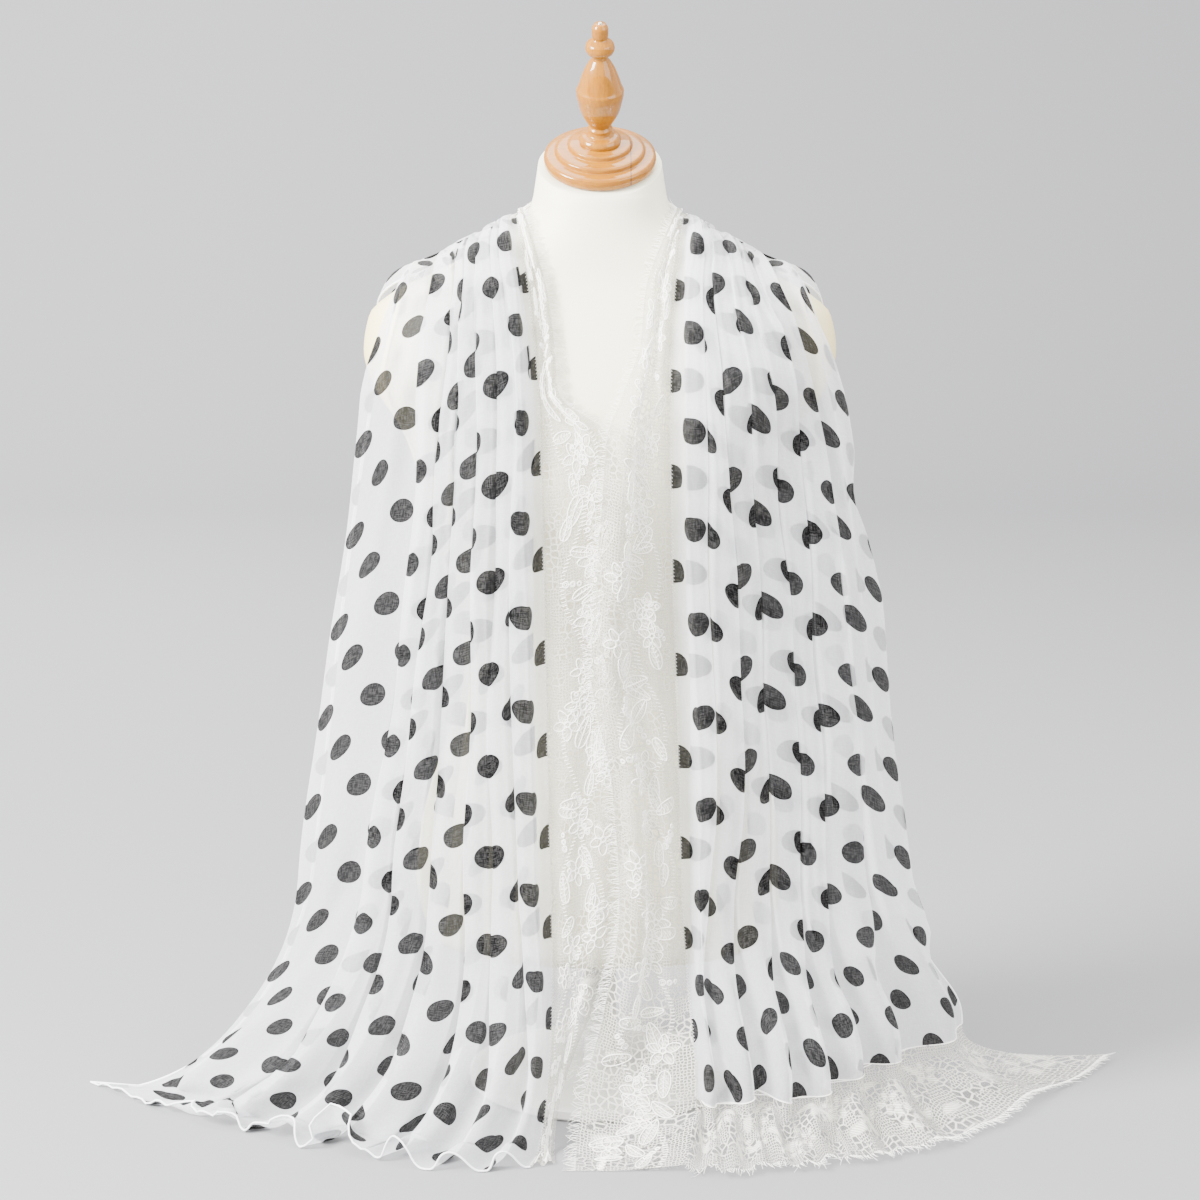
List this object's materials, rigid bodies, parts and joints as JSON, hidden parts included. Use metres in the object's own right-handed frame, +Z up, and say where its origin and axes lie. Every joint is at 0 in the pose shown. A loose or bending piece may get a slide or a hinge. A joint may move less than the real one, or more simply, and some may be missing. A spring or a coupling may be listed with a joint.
{
  "type": "chiffon hijab scarf on a limbless dress form",
  "caption": "Long sheer dotted chiffon scarf with an eyelash lace border, laid round the neck of a limbless dress form so that both ends fall and spread on the floor.",
  "frame": {"origin": "centre of the underside of the stand's base, on the floor", "axes": "+Z up, -Y the front of the dress form, +X its left arm (the viewer's right)"},
  "size_m": [0.9019, 0.364, 0.9185],
  "materials": {
    "chiffon": "sheer cool white chiffon with woven charcoal dots",
    "lace": "warm off-white eyelash lace",
    "form_shell": "smooth ivory shell",
    "varnished_wood": "honey-coloured turned wood, glossy varnish",
    "stand_metal": "satin cream paint"
  },
  "bodies": {
    "root": {"chiffon_left": "chiffon", "chiffon_neck": "chiffon", "chiffon_right": "chiffon", "lace_left": "lace", "lace_neck": "lace", "lace_right": "lace", "lace_end": "lace", "fringe_left": "lace", "fringe_neck": "lace", "fringe_right": "lace", "fringe_end": "lace", "form_torso": "form_shell", "neck_cap": "varnished_wood", "finial": "varnished_wood", "stand_post": "stand_metal", "stand_base": "stand_metal"}
  },
  "joints": []
}
